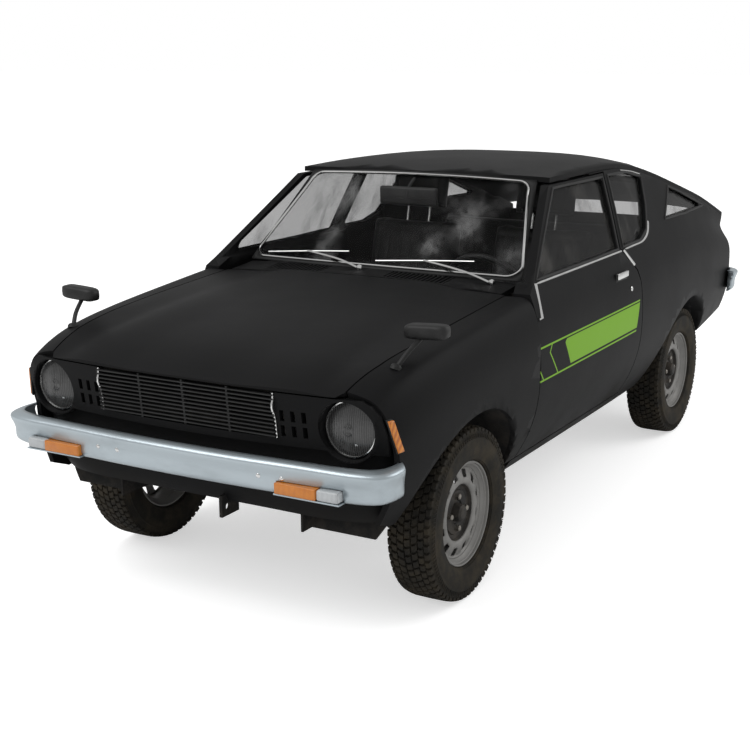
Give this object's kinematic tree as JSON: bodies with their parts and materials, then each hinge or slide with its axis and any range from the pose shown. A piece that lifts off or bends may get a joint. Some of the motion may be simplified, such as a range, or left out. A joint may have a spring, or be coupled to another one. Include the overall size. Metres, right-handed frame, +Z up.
{
  "type": "fastback coupe car",
  "caption": "Compact fastback coupe with opening doors, bonnet and tailgate, steered front wheels and a hollow cabin with seats.",
  "frame": {"origin": "on the floor, under the middle of the car", "axes": "-Y is forwards, +X is the left side of the car, +Z is up"},
  "size_m": [1.578, 3.9414, 1.384],
  "materials": {
    "body_paint": "satin black paint",
    "underbody": "matt black undercoat",
    "engine_metal": "cast",
    "bumper_chrome": "bright",
    "window_glass": "clear",
    "lamp_glass": "ribbed",
    "amber_lens": "gloss",
    "red_lens": "gloss",
    "black_plastic": "matt",
    "seat_vinyl": "grained vinyl",
    "tyre": "matt",
    "rim_steel": "silver paint"
  },
  "bodies": {
    "shell": {"boot_floor": "underbody", "bulkhead": "underbody", "cowl": "body_paint", "dashboard": "black_plastic", "drive_shaft": "underbody", "engine": "engine_metal", "engine_bay": "underbody", "exhaust": "underbody", "floor": "underbody", "front_bumper": "bumper_chrome", "front_lamps": "amber_lens", "front_seats": "seat_vinyl", "front_suspension": "underbody", "front_wing_left": "body_paint", "front_wing_right": "body_paint", "fuel_tank": "underbody", "grille": "black_plastic", "headlamps": "lamp_glass", "nose_panel": "body_paint", "quarter_glass": "window_glass", "quarter_left": "body_paint", "quarter_right": "body_paint", "rear_axle": "underbody", "rear_bumper": "bumper_chrome", "rear_seat": "seat_vinyl", "roof": "body_paint", "sills": "body_paint", "tail_lamps": "red_lens", "tail_panel": "body_paint", "tow_eye": "underbody", "valance": "body_paint", "windscreen": "window_glass", "wing_mirrors": "black_plastic", "wipers": "bumper_chrome"},
    "door_left": {"door_left": "body_paint", "door_glass_left": "window_glass"},
    "door_right": {"door_right": "body_paint", "door_glass_right": "window_glass"},
    "bonnet": {"bonnet": "body_paint"},
    "hatch": {"hatch": "body_paint", "hatch_glass": "window_glass"},
    "upright_left": {"knuckle_left": "underbody"},
    "upright_right": {"knuckle_right": "underbody"},
    "steering_wheel": {"steering_wheel": "black_plastic"},
    "wheel_front_left": {"tyre_front_left": "tyre", "rim_front_left": "rim_steel"},
    "wheel_front_right": {"tyre_front_right": "tyre", "rim_front_right": "rim_steel"},
    "wheel_rear_left": {"tyre_rear_left": "tyre", "rim_rear_left": "rim_steel"},
    "wheel_rear_right": {"tyre_rear_right": "tyre", "rim_rear_right": "rim_steel"}
  },
  "joints": [
    {"name": "door_left_hinge", "type": "hinge", "parent": "shell", "child": "door_left", "pos_m": [0.771, -0.797, 0.7], "axis": [0, 0, -1], "range_deg": [0, 65]},
    {"name": "door_right_hinge", "type": "hinge", "parent": "shell", "child": "door_right", "pos_m": [-0.771, -0.797, 0.7], "axis": [0, 0, 1], "range_deg": [0, 65]},
    {"name": "bonnet_hinge", "type": "hinge", "parent": "shell", "child": "bonnet", "pos_m": [0, -0.791, 1.003], "axis": [-1, 0, 0], "range_deg": [0, 60]},
    {"name": "hatch_hinge", "type": "hinge", "parent": "shell", "child": "hatch", "pos_m": [0, 0.877, 1.342], "axis": [1, 0, 0], "range_deg": [0, 75]},
    {"name": "steer_left", "type": "hinge", "parent": "shell", "child": "upright_left", "pos_m": [0.571, -1.268, 0.305], "axis": [-0.1805, 0, 0.9836], "range_deg": [-32, 32]},
    {"name": "steer_right", "type": "hinge", "parent": "shell", "child": "upright_right", "pos_m": [-0.571, -1.268, 0.305], "axis": [0.1805, 0, 0.9836], "range_deg": [-32, 32]},
    {"name": "steering_column", "type": "hinge", "parent": "shell", "child": "steering_wheel", "pos_m": [0.3, -0.275, 0.872], "axis": [0, 0.9135, 0.4067], "range_deg": [-480, 480]},
    {"name": "roll_front_left", "type": "hinge", "parent": "upright_left", "child": "wheel_front_left", "pos_m": [0.64, -1.268, 0.305], "axis": [1, 0, 0], "continuous": true},
    {"name": "roll_front_right", "type": "hinge", "parent": "upright_right", "child": "wheel_front_right", "pos_m": [-0.64, -1.268, 0.305], "axis": [1, 0, 0], "continuous": true},
    {"name": "roll_rear_left", "type": "hinge", "parent": "shell", "child": "wheel_rear_left", "pos_m": [0.612, 1.072, 0.305], "axis": [1, 0, 0], "continuous": true},
    {"name": "roll_rear_right", "type": "hinge", "parent": "shell", "child": "wheel_rear_right", "pos_m": [-0.612, 1.072, 0.305], "axis": [1, 0, 0], "continuous": true}
  ],
  "couplings": [
    {"joint": "steer_right", "follows": "steer_left", "ratio": 1},
    {"joint": "steering_column", "follows": "steer_left", "ratio": 15}
  ]
}
